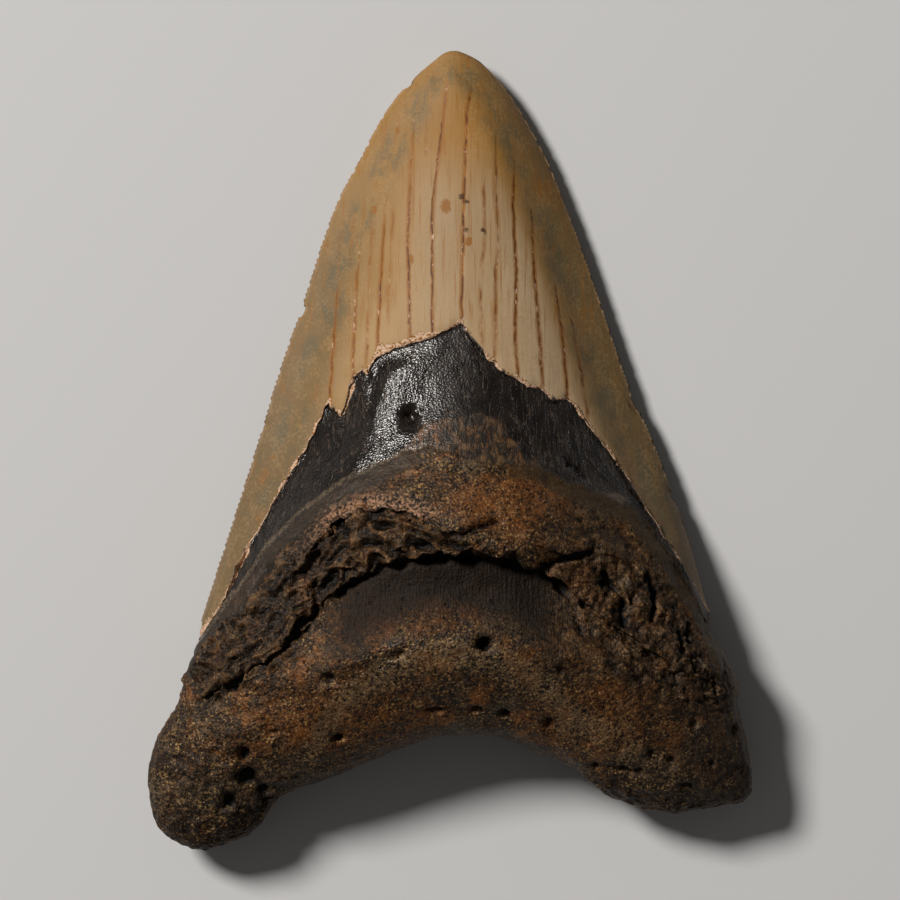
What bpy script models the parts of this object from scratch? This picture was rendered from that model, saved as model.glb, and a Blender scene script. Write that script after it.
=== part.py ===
"""A fossil megalodon tooth, at its real size, with +Z up.

It lies on its labial (outer) face, with its lingual (inner) face up and its tip towards +Y. A tooth
grew as one piece, so it is one solid: a crown of enamel with serrated cutting edges, the dark band of
the bourlette under the enamel's broken edge, and a root with two lobes and a deep crack across it.
The origin is at the middle of its outline, on the surface that it lies on.

Each face is a grid that is bent to shape. Its rows run across the tooth, from the tip to the underside
of the root, and its columns run down from the tip. Some rows follow the broken edge of the enamel, the
lower edge of the bourlette, the scar, the crack and the ridge of the root, so those are edges of the
solid. Lengths are in millimetres, and the mesh is scaled to metres at the end.
"""

import bmesh
import bpy
import numpy as np
from mathutils import Matrix, Vector, noise

MM = 0.001

# Rows of the lingual grid, counted from the tip
ROW_ENAMEL = 20
ROW_BOURLETTE = 21
ROW_ROOT = 29
ROW_SCAR_RIM = 33
ROW_SCAR_FOOT = 34
ROW_CRACK_LIP = 39
ROW_CRACK_FLOOR = 40
ROW_RIDGE = 47
ROWS = 60

# The labial grid has the same rows on the crown, and every second one on the root
LABIAL_ROWS = 40
LABIAL_ROW_STEP = 2

LONGEST_COLUMN = 3.0
SERRATION_STEPS = 10

SERRATION_DEPTH = 0.10
SERRATION_FADE_ROWS = 3.0
ENAMEL_THICKNESS = 0.5
ENAMEL_FOOT = 0.35
LEDGE_FOOT = 0.4

TIP = [(-4.0, 54.5), (-2.3, 55.9), (-0.9, 57.0), (0.5, 57.4), (2.0, 57.1), (4.2, 55.9), (5.7, 54.5)]

LEFT_EDGE = [
    (-4.0, 54.5), (-6.9, 51.6), (-9.9, 47.3), (-12.9, 41.6), (-15.9, 35.9), (-18.1, 30.1),
    (-20.9, 21.5), (-24.8, 10.0), (-27.4, 1.4), (-31.0, -10.0), (-34.7, -21.5), (-35.8, -25.0),
    (-35.9, -26.8),
]
RIGHT_EDGE = [
    (5.7, 54.5), (8.2, 51.6), (10.9, 47.3), (13.9, 41.6), (16.3, 35.9), (18.5, 30.1), (21.5, 21.5),
    (25.4, 10.0), (29.1, 1.4), (33.3, -10.0), (36.7, -21.5), (37.3, -23.1),
]
LEFT_LOBE = [
    (-35.9, -26.8), (-37.4, -31.0), (-38.9, -36.0), (-41.4, -40.0), (-42.7, -43.9), (-43.3, -46.7),
    (-43.0, -49.5), (-42.3, -53.2), (-40.9, -54.9), (-37.7, -56.8), (-35.1, -57.4),
]
RIGHT_LOBE = [
    (37.3, -23.1), (37.4, -25.6), (39.9, -29.8), (41.0, -32.1), (41.4, -34.6), (41.2, -36.2),
    (42.2, -40.7), (43.3, -46.5), (43.0, -49.2), (41.9, -50.3),
]
UNDERSIDE = [
    (-35.1, -57.4), (-29.5, -55.4), (-26.4, -52.9), (-24.6, -49.6), (-21.7, -48.3), (-16.6, -46.7),
    (-9.6, -43.6), (-2.0, -40.9), (5.3, -40.6), (8.5, -41.3), (14.1, -43.9), (17.5, -45.3),
    (22.8, -49.5), (31.0, -51.9), (38.0, -50.9), (41.9, -50.3),
]

# The broken lower edge of the enamel on the lingual face, and its whole lower edge on the labial face
ENAMEL_BREAK = [
    (-35.9, -26.8), (-32.0, -21.2), (-29.3, -14.9), (-26.7, -10.6), (-23.4, -4.3), (-21.2, -1.3),
    (-18.6, 4.0), (-17.3, 7.0), (-16.8, 5.7), (-15.4, 5.0), (-14.9, 6.4), (-14.4, 8.6), (-13.6, 10.5),
    (-12.6, 11.5), (-11.8, 11.0), (-11.1, 12.0), (-10.4, 13.4), (-8.6, 14.3), (-5.7, 15.3),
    (-2.7, 16.1), (-0.3, 17.1), (1.7, 18.4), (2.5, 16.6), (4.7, 13.5), (6.7, 12.2), (7.8, 10.8),
    (9.8, 10.2), (11.0, 9.2), (12.8, 8.9), (14.9, 6.9), (16.8, 7.5), (19.1, 4.7), (21.2, 1.4),
    (22.7, 0.1), (24.5, -2.9), (27.5, -7.6), (32.1, -14.5), (35.7, -21.2), (37.3, -23.1),
]
LABIAL_EDGE = [
    (-31.0, -24.1), (-22.0, -19.3), (-10.0, -16.2), (1.0, -15.0), (13.0, -15.8), (24.0, -18.2),
    (32.0, -21.3),
]

# The insides of the rows that cross the root: their ends are on the outline
ROOT_TOP = [
    (-30.1, -20.1), (-25.9, -14.0), (-22.9, -10.0), (-15.6, -4.6), (-11.3, -2.3), (-7.7, -1.0),
    (-4.4, 0.4), (1.7, 2.5), (7.0, 0.6), (12.2, -2.2), (19.4, -6.2), (27.2, -10.3), (31.4, -15.5),
]
SCAR_RIM = [
    (-32.0, -24.6), (-25.5, -19.6), (-19.2, -13.2), (-17.2, -10.9), (-14.3, -9.2), (-11.6, -8.0),
    (-8.3, -8.3), (-5.7, -8.9), (-3.0, -9.9), (-0.5, -11.3), (2.2, -11.3), (6.7, -10.0),
    (10.5, -12.0), (14.5, -14.4), (17.5, -14.9), (20.7, -14.0), (26.0, -16.5), (32.0, -22.5),
]
CRACK = [
    (-34.7, -34.8), (-30.1, -32.1), (-25.4, -29.0), (-21.4, -24.8), (-17.9, -20.8), (-14.9, -18.8),
    (-11.9, -17.4), (-9.0, -16.0), (-5.0, -15.0), (-1.7, -14.4), (4.9, -14.8), (8.2, -15.5),
    (14.3, -17.5), (16.6, -19.4), (20.2, -22.2), (26.0, -26.5), (33.0, -31.0),
]
RIDGE = [
    (-34.5, -39.2), (-28.5, -36.2), (-21.5, -33.0), (-15.1, -30.1), (-4.3, -27.2), (2.9, -26.3),
    (12.0, -27.0), (21.5, -29.6), (29.0, -33.4), (36.0, -38.0),
]

# Where the rows above end on each side of the root, as shares of that side
SIDE_ROWS = (
    ROW_ENAMEL, ROW_BOURLETTE, ROW_ROOT, ROW_SCAR_RIM, ROW_SCAR_FOOT, ROW_CRACK_LIP,
    ROW_CRACK_FLOOR, ROW_RIDGE,
)
LEFT_SHARES = (0.0, 0.012, 0.06, 0.14, 0.15, 0.275, 0.29, 0.41)
RIGHT_SHARES = (0.0, 0.012, 0.12, 0.22, 0.235, 0.42, 0.435, 0.6)

# Heights above the surface, going down the tooth: of the crest of the lingual face, and of the outline
CREST = [
    (57.4, 5.2), (53.0, 6.3), (46.0, 7.6), (34.0, 9.5), (25.0, 11.0), (18.0, 12.6), (7.0, 15.8),
    (-2.0, 19.6), (-9.0, 23.1), (-14.0, 24.6), (-18.5, 23.2), (-22.0, 22.9), (-26.5, 23.4), (-31.0, 22.6),
    (-41.0, 19.5), (-57.4, 15.5),
]
OUTLINE = [(57.4, 3.4), (34.0, 2.9), (0.0, 3.4), (-23.0, 5.2), (-30.0, 7.8), (-40.0, 8.4), (-57.4, 7.2)]
ARCH_RISE = 2.8
CREST_SHIFT = 3.2
TIP_ROUNDING = 9.0

# Nicks in the cutting edges: side, height up the tooth, depth and half width
NICKS = [(-1, 52.5, 0.45, 0.5), (-1, 20.0, 0.6, 0.7), (1, 7.1, 0.5, 1.0), (1, -6.7, 0.45, 0.7)]

# Holes where blood vessels ran, and pits: centre and depth
PITS = [
    (4.7, -27.3, 1.5), (-16.9, -32.3, 0.9), (-6.9, -28.7, 0.6), (13.9, -39.2, 1.1), (-15.8, -40.9, 0.9),
    (3.7, -36.6, 0.8), (7.7, -37.4, 0.9), (-2.0, -36.9, 0.7), (21.6, -36.4, 0.7), (28.5, -43.3, 0.8),
    (-24.9, -40.0, 0.8), (-29.3, -43.6, 0.9), (-28.9, -47.0, 1.0), (34.6, -38.9, 0.7), (-5.7, 4.7, 0.9),
    (15.6, -31.1, 0.8), (33.0, -27.0, 0.8), (34.7, -30.4, 0.8),
]

ENAMEL_COLOUR = (0.36, 0.26, 0.15, 1.0)
BOURLETTE_COLOUR = (0.022, 0.019, 0.017, 1.0)
ROOT_COLOUR = (0.105, 0.055, 0.027, 1.0)


def ramp(low, high, value):
    """0 up to low, 1 from high on, and a smooth change between them; low can be the larger one."""
    t = min(1.0, max(0.0, (value - low) / (high - low)))
    return t * t * (3 - 2 * t)


def through(points):
    """A smooth line through points, as many short steps: a Catmull-Rom spline."""
    points = np.array(points, float)
    padded = np.vstack([2 * points[0] - points[1], points, 2 * points[-1] - points[-2]])
    t = np.linspace(0, 1, 12, endpoint=False)[:, None]
    spans = [
        b + 0.5 * t * ((c - a) + t * ((2 * a - 5 * b + 4 * c - d) + t * (3 * (b - c) + d - a)))
        for a, b, c, d in zip(padded, padded[1:], padded[2:], padded[3:])
    ]
    return np.vstack([*spans, points[-1:]])


class Line:
    """A line that is read by a share of its length, from 0 at its left or upper end to 1."""

    def __init__(self, points, shares=None):
        self.points = np.array(points, float)
        if shares is None:
            steps = np.linalg.norm(np.diff(self.points, axis=0), axis=1)
            shares = np.append(0, np.cumsum(steps)) / steps.sum()
        self.shares = shares

    def at(self, share):
        return np.array([np.interp(share, self.shares, axis) for axis in self.points.T])

    def lowered(self, distance):
        return Line(self.points - (0, distance), self.shares)


def split(points, longest):
    """The points, with a long stretch between two of them cut into equal parts."""
    made = [np.array(points[0])]
    for start, end in zip(np.array(points), np.array(points[1:])):
        parts = max(1, round(np.hypot(*(end - start)) / longest))
        made += [start + (end - start) * k / parts for k in range(1, parts + 1)]
    return made


def down(profile, y):
    """A height read from a list of heights going down the tooth."""
    return np.interp(-y, -profile[:, 0], profile[:, 1])


EDGES = {-1: Line(through(LEFT_EDGE)), 1: Line(through(RIGHT_EDGE))}
LOBES = {-1: Line(through(LEFT_LOBE)), 1: Line(through(RIGHT_LOBE))}
LOBE_SHARES = {-1: LEFT_SHARES, 1: RIGHT_SHARES}
CREST_LINE = through(CREST)
OUTLINE_LINE = through(OUTLINE)

tip_line = through(TIP)
tip_halves = {-1: tip_line[: len(tip_line) // 2 + 1][::-1], 1: tip_line[len(tip_line) // 2 :]}
SIDES = {side: np.vstack([tip_halves[side], EDGES[side].points, LOBES[side].points]) for side in (-1, 1)}


def side_point(side, row):
    """The outline at the end of a row, with its serrations and nicks."""
    if row > ROW_RIDGE:
        last = LOBE_SHARES[side][-1]
        rest = np.sin(np.pi / 2 * (row - ROW_RIDGE) / (ROWS - ROW_RIDGE))
        return LOBES[side].at(last + (1 - last) * rest)
    if row > ROW_ENAMEL:
        return LOBES[side].at(np.interp(row, SIDE_ROWS, LOBE_SHARES[side]))
    share = row / ROW_ENAMEL
    point = EDGES[side].at(share)
    along = EDGES[side].at(min(1, share + 0.01)) - EDGES[side].at(max(0, share - 0.01))
    outward = side * np.array([-along[1], along[0]]) / np.hypot(*along)
    fade = min(1, row / SERRATION_FADE_ROWS, (ROW_ENAMEL - row) / SERRATION_FADE_ROWS)
    serration = 1 if round(row * SERRATION_STEPS) % 2 else -1
    nicks = sum(
        depth * np.exp(-(((point[1] - y) / half) ** 2)) for where, y, depth, half in NICKS if where == side
    )
    return point + outward * (serration * fade * SERRATION_DEPTH - nicks)


def across(row, inside):
    """The line of a row: its inside points, between the two points where it meets the outline."""
    return Line(through([side_point(-1, row), *inside, side_point(1, row)]))


break_points = split(ENAMEL_BREAK, LONGEST_COLUMN)
COLUMNS = len(break_points) - 1
LABIAL_COLUMNS = COLUMNS // 2
BREAK_LINE = Line(break_points, np.linspace(0, 1, len(break_points)))
SCAR_LINE = across(ROW_SCAR_RIM, SCAR_RIM)
CRACK_LINE = across(ROW_CRACK_LIP, CRACK)
LABIAL_LINE = across(ROW_ENAMEL, LABIAL_EDGE)

LINGUAL_LINES = [
    (0, Line(tip_line)),
    (ROW_ENAMEL, BREAK_LINE),
    (ROW_BOURLETTE, BREAK_LINE.lowered(ENAMEL_FOOT)),
    (ROW_ROOT, across(ROW_ROOT, ROOT_TOP)),
    (ROW_SCAR_RIM, SCAR_LINE),
    (ROW_SCAR_FOOT, SCAR_LINE.lowered(LEDGE_FOOT)),
    (ROW_CRACK_LIP, CRACK_LINE),
    (ROW_CRACK_FLOOR, CRACK_LINE.lowered(LEDGE_FOOT)),
    (ROW_RIDGE, across(ROW_RIDGE, RIDGE)),
    (ROWS, Line(through(UNDERSIDE))),
]
LABIAL_LINES = [
    (0, Line(tip_line)),
    (ROW_ENAMEL, LABIAL_LINE),
    (ROW_ENAMEL + 1, LABIAL_LINE.lowered(ENAMEL_FOOT)),
    (LABIAL_ROWS, Line(through(UNDERSIDE))),
]


def towards_sides(u, row, last_row):
    """A column's place, with the columns of the root drawn towards its sides, where it is rounded."""
    drawn = ramp(ROW_BOURLETTE, ROW_ROOT, row) * ramp(last_row, last_row - 5, row)
    return u - 0.1 * drawn * np.sin(2 * np.pi * u)


def lingual_row(row):
    """The row of the lingual grid that ends where this row of the labial grid does."""
    return row if row <= ROW_ENAMEL else ROW_ENAMEL + LABIAL_ROW_STEP * (row - ROW_ENAMEL)


def seen_from_above(lines, u, row, same_row):
    """A point of a grid between two of its lines, and how near it is to the underside, from 0 to 1."""
    index = max(k for k in range(len(lines) - 1) if lines[k][0] <= row)
    (first, upper), (last, lower) = lines[index], lines[index + 1]
    t = (row - first) / (last - first)
    rim = 0.0
    if last == lines[-1][0]:
        t = rim = np.sin(np.pi / 2 * t)
    u = towards_sides(u, row, lines[-1][0])
    point = (1 - t) * upper.at(u) + t * lower.at(u)
    for side, end, weight in ((-1, 0, (1 - u) ** 2), (1, 1, u**2)):
        point = point + weight * (side_point(side, same_row) - (1 - t) * upper.at(end) - t * lower.at(end))
    return point, rim


def off_middle(x, y, shift=0.0):
    """How far a point is from the middle of the tooth, or from beside it, to its outline: 0 to 1."""
    left, right = (np.interp(-y, -SIDES[side][:, 1], SIDES[side][:, 0]) for side in (-1, 1))
    middle = (left + right) / 2 + shift
    return min(1.0, max((x - middle) / max(0.5, right - middle), (middle - x) / max(0.5, middle - left)))


def outline_height(x, y):
    return down(OUTLINE_LINE, y) + ARCH_RISE * np.exp(-(((x - 2) / 14) ** 2)) * ramp(-30, -41, y)


def tip_rounding(y):
    """0 at the tip and 1 from a little below it on, so that both faces run out at the tip."""
    short = 1 - min(1.0, (TIP[3][1] - y) / TIP_ROUNDING)
    return (1 - short**2.5) ** 0.6


def lumps(x, y, size, seed):
    return noise.fractal(Vector((x / size, y / size, seed)), 1.0, 2.0, 3)


def scar_depth(x, row):
    """The scoop that broke out of the root above the left of the crack, and a smaller one at its right."""
    left = ramp(-23, -18, x) * ramp(1.5, -3, x)
    right = 0.6 * ramp(10, 14, x) * ramp(27, 21, x)
    deeper = (row - ROW_SCAR_FOOT) / (ROW_CRACK_LIP - ROW_SCAR_FOOT)
    return (left + right) * (0.95 + 0.8 * deeper)


def crack_depth(x, row):
    """How far the floor of the crack is below its lip, easing off towards the ridge of the root."""
    deepest = 1.1 * ramp(-38, -31, x) + 1.7 * ramp(-22, -14, x) + 0.7 * ramp(-8, -2, x)
    shallower = 1.6 * ramp(13, 19, x) + 1.2 * ramp(22, 34, x)
    floor = (deepest - shallower) * np.exp(-(row - ROW_CRACK_FLOOR) / 2.2)
    above_ridge = min(1.0, (row - ROW_CRACK_FLOOR) / (ROW_RIDGE - ROW_CRACK_FLOOR))
    return floor + 1.3 * np.sin(np.pi * above_ridge) * ramp(-27, -19, x) * ramp(29, 20, x)


def lingual_height(x, y, row, rim):
    off = off_middle(x, y, CREST_SHIFT * ramp(56, 44, y) * ramp(-12, 8, y))
    base = outline_height(x, y)
    blade = (1 - off**2) ** (1.0 + 0.35 * ramp(50, 20, y))
    root = (1 - 0.42 * off**2) * (1 - off**6) ** 0.5
    side = blade + (root - blade) * ramp(4, -28, y)
    height = base + (down(CREST_LINE, y) - base) * side * (1 - rim**2.2) ** 0.5 * tip_rounding(y)
    inside = 1 - off**10
    if row <= ROW_ENAMEL:
        return height + ENAMEL_THICKNESS * inside * tip_rounding(y)
    if row > ROW_ROOT:
        crumbled = ramp(12, 17, x) * ramp(40, 33, x) * ramp(-37, -31, y)
        height += (0.4 + 0.6 * crumbled) * lumps(x, y, 5.5, 3.0) * inside * (1 - rim**4)
    if ROW_SCAR_FOOT <= row <= ROW_CRACK_LIP:
        height -= scar_depth(x, row) * inside
    if row >= ROW_CRACK_FLOOR:
        height -= crack_depth(x, row) * inside
    return height


def labial_height(x, y, row, rim):
    off = off_middle(x, y)
    base = outline_height(x, y)
    arch = np.exp(-(((x - 2) / 17) ** 2)) * ramp(-17, -33, y)
    floor = 3.4 * arch - 0.9 - 5.6 * ramp(-34, -47, y)
    crown = (1 - off**2) ** 0.8
    root = (1 - off**5) ** 0.5
    side = crown + (root - crown) * ramp(-5, -30, y)
    height = base - (base - floor) * side * (1 - rim**10) ** 0.5 * tip_rounding(y)
    if row > ROW_ENAMEL:
        height += (1.3 + 0.35 * lumps(x, y, 7.0, 9.0)) * (1 - off**10) * (1 - rim**4) * ramp(-48, -34, y)
    return max(0.0, height)


def grid(columns, rows):
    """A flat grid whose x runs from 0 to 1 across the tooth, and whose y is the row."""
    bm = bmesh.new()
    bmesh.ops.create_grid(bm, x_segments=columns, y_segments=rows, size=0.5)
    for vert in bm.verts:
        vert.co = (vert.co.x + 0.5, round((vert.co.y + 0.5) * rows), 0)
    ends = [e for e in bm.edges if e.is_boundary and all(v.co.y in (0, rows) for v in e.verts)]
    sides = [e for e in bm.edges if e.is_boundary and e not in ends]
    crown = [e for e in sides if max(v.co.y for v in e.verts) <= ROW_ENAMEL]
    root = [e for e in sides if e not in crown]
    bmesh.ops.subdivide_edges(bm, edges=crown, cuts=SERRATION_STEPS - 1)
    if rows < ROWS:
        bmesh.ops.subdivide_edges(bm, edges=root, cuts=LABIAL_ROW_STEP - 1)
        bmesh.ops.subdivide_edges(bm, edges=ends, cuts=1)
    corners = [f for f in bm.faces if any(len(v.link_faces) == 1 and len(f.verts) == 4 for v in f.verts)]
    fans = [f for f in bm.faces if len(f.verts) > 4]
    bmesh.ops.poke(bm, faces=corners + fans)
    return bm


def face_mesh(lingual):
    """One face of the tooth, with a material for each kind of surface."""
    columns, rows, lines = (LABIAL_COLUMNS, LABIAL_ROWS, LABIAL_LINES)
    if lingual:
        columns, rows, lines = (COLUMNS, ROWS, LINGUAL_LINES)
    bm = grid(columns, rows)
    for face in bm.faces:
        row = face.calc_center_median().y
        face.material_index = 0 if row < ROW_ENAMEL else 1 if lingual and row < ROW_ROOT else 2
        face.smooth = True
    for vert in bm.verts:
        u, row = vert.co.x, vert.co.y
        (x, y), rim = seen_from_above(lines, u, row, row if lingual else lingual_row(row))
        if vert.is_boundary:
            z = outline_height(x, y)
        else:
            z = lingual_height(x, y, row, rim) if lingual else labial_height(x, y, row, rim)
        vert.co = (x, y, z)
    if lingual:
        for x, y, depth in PITS:
            nearest = min(bm.faces, key=lambda f: (f.calc_center_median().xy - Vector((x, y))).length)
            middle = bmesh.ops.poke(bm, faces=[nearest])["verts"][0]
            middle.co.z -= depth
    return bm


def material(name, colour, roughness):
    made = bpy.data.materials.new(name)
    made.use_nodes = True
    shader = made.node_tree.nodes["Principled BSDF"]
    shader.inputs["Base Color"].default_value = colour
    shader.inputs["Roughness"].default_value = roughness
    return made


def build_tooth(collection):
    both = bmesh.new()
    mesh = bpy.data.meshes.new("tooth")
    for lingual in (True, False):
        bm = face_mesh(lingual)
        bm.to_mesh(mesh)
        bm.free()
        both.from_mesh(mesh)
    bmesh.ops.remove_doubles(both, verts=both.verts, dist=1e-4)
    bmesh.ops.recalc_face_normals(both, faces=both.faces)
    both.to_mesh(mesh)
    both.free()
    points = np.array([v.co for v in mesh.vertices])
    middle = (points.min(0) + points.max(0)) / 2
    mesh.transform(Matrix.Scale(MM, 4) @ Matrix.Translation((-middle[0], -middle[1], -points[:, 2].min())))
    mesh.materials.append(material("enamel", ENAMEL_COLOUR, 0.45))
    mesh.materials.append(material("bourlette", BOURLETTE_COLOUR, 0.35))
    mesh.materials.append(material("root", ROOT_COLOUR, 0.55))
    collection.objects.link(bpy.data.objects.new("tooth", mesh))


for old in list(bpy.data.objects):
    bpy.data.objects.remove(old)
tooth_collection = bpy.data.collections.new("megalodon_tooth")
bpy.context.scene.collection.children.link(tooth_collection)
build_tooth(tooth_collection)
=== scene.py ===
"""A fossil megalodon tooth, lying on its outer face on a pale floor and seen from straight above.

The tooth grew as one piece, so it is one mesh here too: a copy of the solid's surface, made finer, worked
over area by area as a carver would, and given one stone that changes from enamel to bourlette to root.
Its sizes are in millimetres, from the middle of the tooth's outline, with the tip towards +Y.
"""

from math import radians

import bpy
import numpy as np
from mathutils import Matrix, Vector, noise


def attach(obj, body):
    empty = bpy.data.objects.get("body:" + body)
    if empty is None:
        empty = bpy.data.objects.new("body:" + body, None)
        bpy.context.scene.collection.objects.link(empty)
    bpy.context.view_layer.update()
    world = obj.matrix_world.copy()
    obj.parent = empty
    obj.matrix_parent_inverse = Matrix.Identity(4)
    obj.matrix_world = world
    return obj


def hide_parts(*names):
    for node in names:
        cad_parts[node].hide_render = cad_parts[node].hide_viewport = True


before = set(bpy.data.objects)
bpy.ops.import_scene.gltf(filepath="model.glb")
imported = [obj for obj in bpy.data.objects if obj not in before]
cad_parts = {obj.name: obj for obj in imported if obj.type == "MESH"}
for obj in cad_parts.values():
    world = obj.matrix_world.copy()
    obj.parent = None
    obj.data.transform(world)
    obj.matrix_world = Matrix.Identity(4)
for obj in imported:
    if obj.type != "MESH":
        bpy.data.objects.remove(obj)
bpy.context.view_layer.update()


# The body of the tooth: one solid fossil, dense and heavy, with sharp cutting edges down both sides.
# Its skin is the solid's own skin, welded, turned back into four-sided faces and subdivided, with
# the cutting edges, the broken edge of the enamel and the lips of the crack kept sharp.

MM = 0.001

ENAMEL_BREAK = [
    (-35.9, -26.8), (-32.0, -21.2), (-29.3, -14.9), (-26.7, -10.6), (-23.4, -4.3), (-21.2, -1.3),
    (-18.6, 4.0), (-17.3, 7.0), (-16.8, 5.7), (-15.4, 5.0), (-14.9, 6.4), (-14.4, 8.6), (-13.6, 10.5),
    (-12.6, 11.5), (-11.8, 11.0), (-11.1, 12.0), (-10.4, 13.4), (-8.6, 14.3), (-5.7, 15.3),
    (-2.7, 16.1), (-0.3, 17.1), (1.7, 18.4), (2.5, 16.6), (4.7, 13.5), (6.7, 12.2), (7.8, 10.8),
    (9.8, 10.2), (11.0, 9.2), (12.8, 8.9), (14.9, 6.9), (16.8, 7.5), (19.1, 4.7), (21.2, 1.4),
    (22.7, 0.1), (24.5, -2.9), (27.5, -7.6), (32.1, -14.5), (35.7, -21.2), (37.3, -23.1),
]
LABIAL_EDGE = [
    (-35.9, -26.8), (-31.0, -24.1), (-22.0, -19.3), (-10.0, -16.2), (1.0, -15.0), (13.0, -15.8),
    (24.0, -18.2), (32.0, -21.3), (37.3, -23.1),
]
SCAR_RIM = [
    (-37.2, -31.0), (-32.0, -24.6), (-25.5, -19.6), (-19.2, -13.2), (-17.2, -10.9), (-14.3, -9.2),
    (-11.6, -8.0), (-8.3, -8.3), (-5.7, -8.9), (-3.0, -9.9), (-0.5, -11.3), (2.2, -11.3), (6.7, -10.0),
    (10.5, -12.0), (14.5, -14.4), (17.5, -14.9), (20.7, -14.0), (26.0, -16.5), (32.0, -22.5), (39.5, -29.5),
]
CRACK = [
    (-38.5, -35.2), (-34.7, -34.8), (-30.1, -32.1), (-25.4, -29.0), (-21.4, -24.8), (-17.9, -20.8),
    (-14.9, -18.8), (-11.9, -17.4), (-9.0, -16.0), (-5.0, -15.0), (-1.7, -14.4), (4.9, -14.8),
    (8.2, -15.5), (14.3, -17.5), (16.6, -19.4), (20.2, -22.2), (26.0, -26.5), (33.0, -31.0), (41.2, -35.0),
]
OUTLINE_HEIGHTS = [
    (57.4, 3.4), (34.0, 2.9), (0.0, 3.4), (-23.0, 5.2), (-30.0, 7.8), (-40.0, 8.4), (-57.4, 7.2),
]
WELD = 0.002 * MM
FOLD_ANGLE = radians(30)
SHARP_NEAR_LINE = 0.6
SHARP_NEAR_OUTLINE = 0.35
EDGE_CREASE = 0.85
ROOT_START = -26.5


def ramp(low, high, value):
    """0 up to low, 1 from high on, with a smooth change between them; low can be the larger one."""
    t = np.clip((value - low) / (high - low), 0, 1)
    return t * t * (3 - 2 * t)


def over(line, x, y):
    """How far points are over a line that runs across the tooth, square to it, in millimetres."""
    line_x, line_y = np.array(line).T
    slope = np.gradient(line_y, line_x)
    lean = np.interp(x, line_x, slope)
    return (y - np.interp(x, line_x, line_y)) / np.sqrt(1 + np.clip(lean, -1.5, 1.5) ** 2)


def places(mesh):
    """The vertices' places in millimetres, one row each."""
    flat = np.empty(len(mesh.vertices) * 3)
    mesh.vertices.foreach_get("co", flat)
    return flat.reshape(-1, 3) / MM


def outline_heights(y):
    """How high the outline of the tooth lies over the floor, from the tip down to the lobes."""
    return np.interp(-y, *(np.array(OUTLINE_HEIGHTS) * (-1, 1)).T)


def measured(mesh, name):
    """A measure that the mesh carries, one value for each vertex."""
    values = np.zeros(len(mesh.vertices))
    mesh.attributes[name].data.foreach_get("value", values)
    return values


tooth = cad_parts["tooth"].copy()
tooth.data = tooth.data.copy()
tooth.name = tooth.data.name = "fossil_tooth"
tooth.parent = None
bpy.context.scene.collection.objects.link(tooth)
bpy.ops.object.select_all(action="DESELECT")
tooth.select_set(True)
bpy.context.view_layer.objects.active = tooth
bpy.ops.mesh.customdata_custom_splitnormals_clear()
bpy.ops.object.mode_set(mode="EDIT")
bpy.ops.mesh.select_all(action="SELECT")
bpy.ops.mesh.remove_doubles(threshold=WELD)
bpy.ops.mesh.normals_make_consistent(inside=False)
bpy.ops.mesh.tris_convert_to_quads(face_threshold=radians(50), shape_threshold=radians(70))
bpy.ops.mesh.select_mode(type="EDGE")
bpy.ops.mesh.select_all(action="DESELECT")
bpy.ops.mesh.edges_select_sharp(sharpness=FOLD_ANGLE)
bpy.ops.object.mode_set(mode="OBJECT")

mesh = tooth.data
x, y, z = places(mesh).T
outline_height = outline_heights(y)
lingual = z > outline_height
enamel = np.where(lingual, over(ENAMEL_BREAK, x, y), over(LABIAL_EDGE, x, y)) > -0.04
mesh.attributes.new("enamel", "FLOAT", "POINT").data.foreach_set("value", enamel.astype(float))

sharp = np.zeros(len(mesh.edges), bool)
mesh.edges.foreach_get("select", sharp)
ends = np.array([e.vertices for e in mesh.edges])
kept = np.zeros(len(x), bool)
for line in (ENAMEL_BREAK, LABIAL_EDGE, SCAR_RIM, CRACK):
    kept |= np.abs(over(line, x, y)) < SHARP_NEAR_LINE
kept |= np.abs(z - outline_height) < SHARP_NEAR_OUTLINE
sharp &= kept[ends].all(axis=1)
mesh.attributes.new("crease_edge", "FLOAT", "EDGE").data.foreach_set("value", sharp * EDGE_CREASE)
cutting = np.zeros(len(mesh.vertices), bool)
cutting[ends[sharp].ravel()] = True
cutting &= (y > ROOT_START) & (np.abs(z - outline_height) < SHARP_NEAR_OUTLINE)
mesh.attributes.new("crease_vert", "FLOAT", "POINT").data.foreach_set("value", cutting.astype(float))

finer = tooth.modifiers.new("finer", "SUBSURF")
finer.levels = finer.render_levels = 2
bpy.ops.object.modifier_apply(modifier="finer")

# The broken parts of the root are given one more round of faces, for their small sharp relief
x, y, z = places(mesh).T
broken_part = (over(CRACK, x, y) > -1.5) & (over(SCAR_RIM, x, y) < 0.8)
broken_part &= (x > -37) & (x < 38) & (z > 9.0)
all_broken = [bool(broken_part[face.vertices].all()) for face in mesh.polygons]
mesh.polygons.foreach_set("select", all_broken)
bpy.ops.object.mode_set(mode="EDIT")
bpy.ops.mesh.select_mode(type="FACE")
bpy.ops.mesh.subdivide(number_cuts=1)
bpy.ops.object.mode_set(mode="OBJECT")
bpy.ops.object.shade_smooth()

# The carving tools: noise that works as a rasp does, and lines and holes cut to a depth. Everything
# that is cut is added up as one height for each vertex, and goes into the mesh at the end.
skin = places(mesh)
x, y, z = skin.T
outline_height = outline_heights(y)
lingual = z > outline_height
upper = ramp(0.2, 1.5, z - outline_height)
enamel = measured(mesh, "enamel")
lift = np.zeros(len(x))


def grain(scale, seed, octaves=3, stretch=(1, 1, 1)):
    """Lumps of about one millimetre over the scale, from about -1 to 1, at each vertex."""
    spots = skin * stretch * scale + seed
    return np.array([noise.fractal(Vector(spot), 1.0, 2.0, octaves) for spot in spots])


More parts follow.
